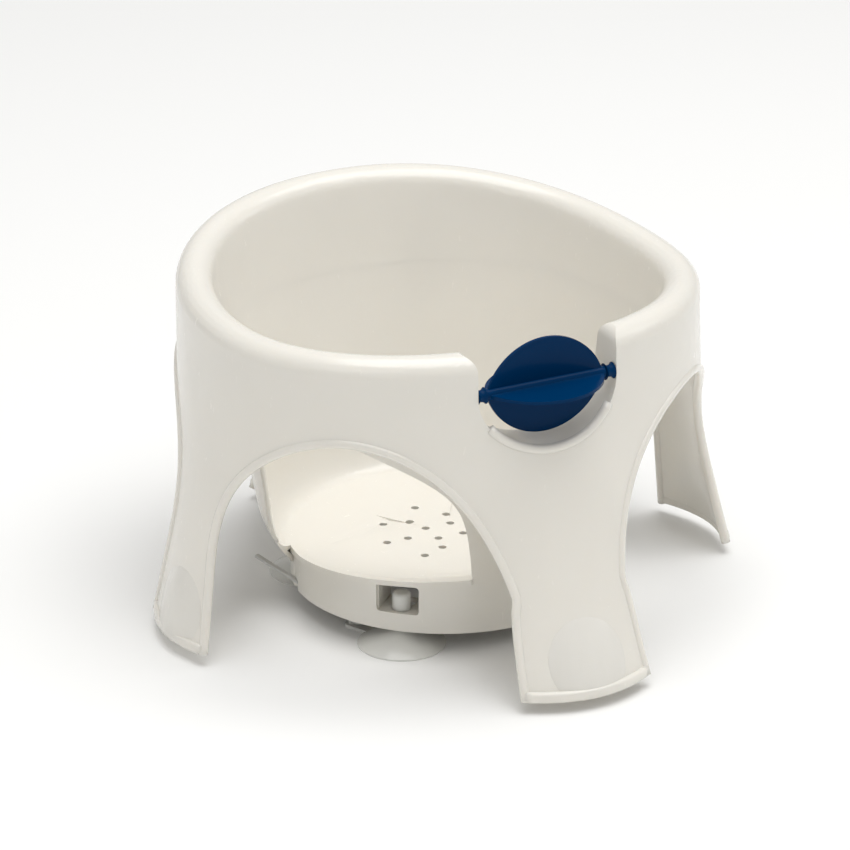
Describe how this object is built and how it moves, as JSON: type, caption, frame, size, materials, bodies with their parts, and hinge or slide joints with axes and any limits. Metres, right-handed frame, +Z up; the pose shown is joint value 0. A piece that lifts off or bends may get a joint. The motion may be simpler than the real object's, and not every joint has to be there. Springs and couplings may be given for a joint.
{
  "type": "baby bath ring",
  "caption": "Flared ring on wide legs round a low pan seat with backrest, front post and leg openings, held by suction cups, with a turning toy in a notch of the rim.",
  "frame": {"origin": "on the floor at the centre of the box round the legs, level with the suction cups' lips", "axes": "+Z up, -Y towards the front with the notch and the toy, +X to the right seen from the front"},
  "size_m": [0.345, 0.354, 0.204],
  "materials": {
    "white_plastic": "glossy off-white moulded polypropylene",
    "clear_cup": "smooth translucent soft vinyl",
    "strap_plastic": "smooth translucent grey strip",
    "blue_vane": "glossy dark blue moulded plastic",
    "blue_rod": "glossy blue rod",
    "blue_cap": "glossy dark blue moulded plastic"
  },
  "bodies": {
    "ring": {"ring_shell": "white_plastic", "seat_bucket": "white_plastic", "suction_cup_front_left": "clear_cup", "suction_cup_front_right": "clear_cup", "suction_cup_rear_left": "clear_cup", "suction_cup_rear_right": "clear_cup"},
    "spinner": {"spinner_vanes": "blue_vane", "spinner_axle": "blue_rod", "spinner_cap_left": "blue_cap", "spinner_cap_right": "blue_cap"},
    "strap_left": {"release_strap_left": "strap_plastic"},
    "strap_right": {"release_strap_right": "strap_plastic"}
  },
  "joints": [
    {"name": "spinner_turn", "type": "hinge", "parent": "ring", "child": "spinner", "pos_m": [0, -0.1145, 0.1665], "axis": [1, 0, 0], "continuous": true},
    {"name": "strap_left_pull", "type": "slide", "parent": "ring", "child": "strap_left", "axis": [-0.3598, 0.9086, 0.2122], "range_m": [0, 0.005]},
    {"name": "strap_right_pull", "type": "slide", "parent": "ring", "child": "strap_right", "axis": [0.3598, 0.9086, 0.2122], "range_m": [0, 0.005]}
  ]
}
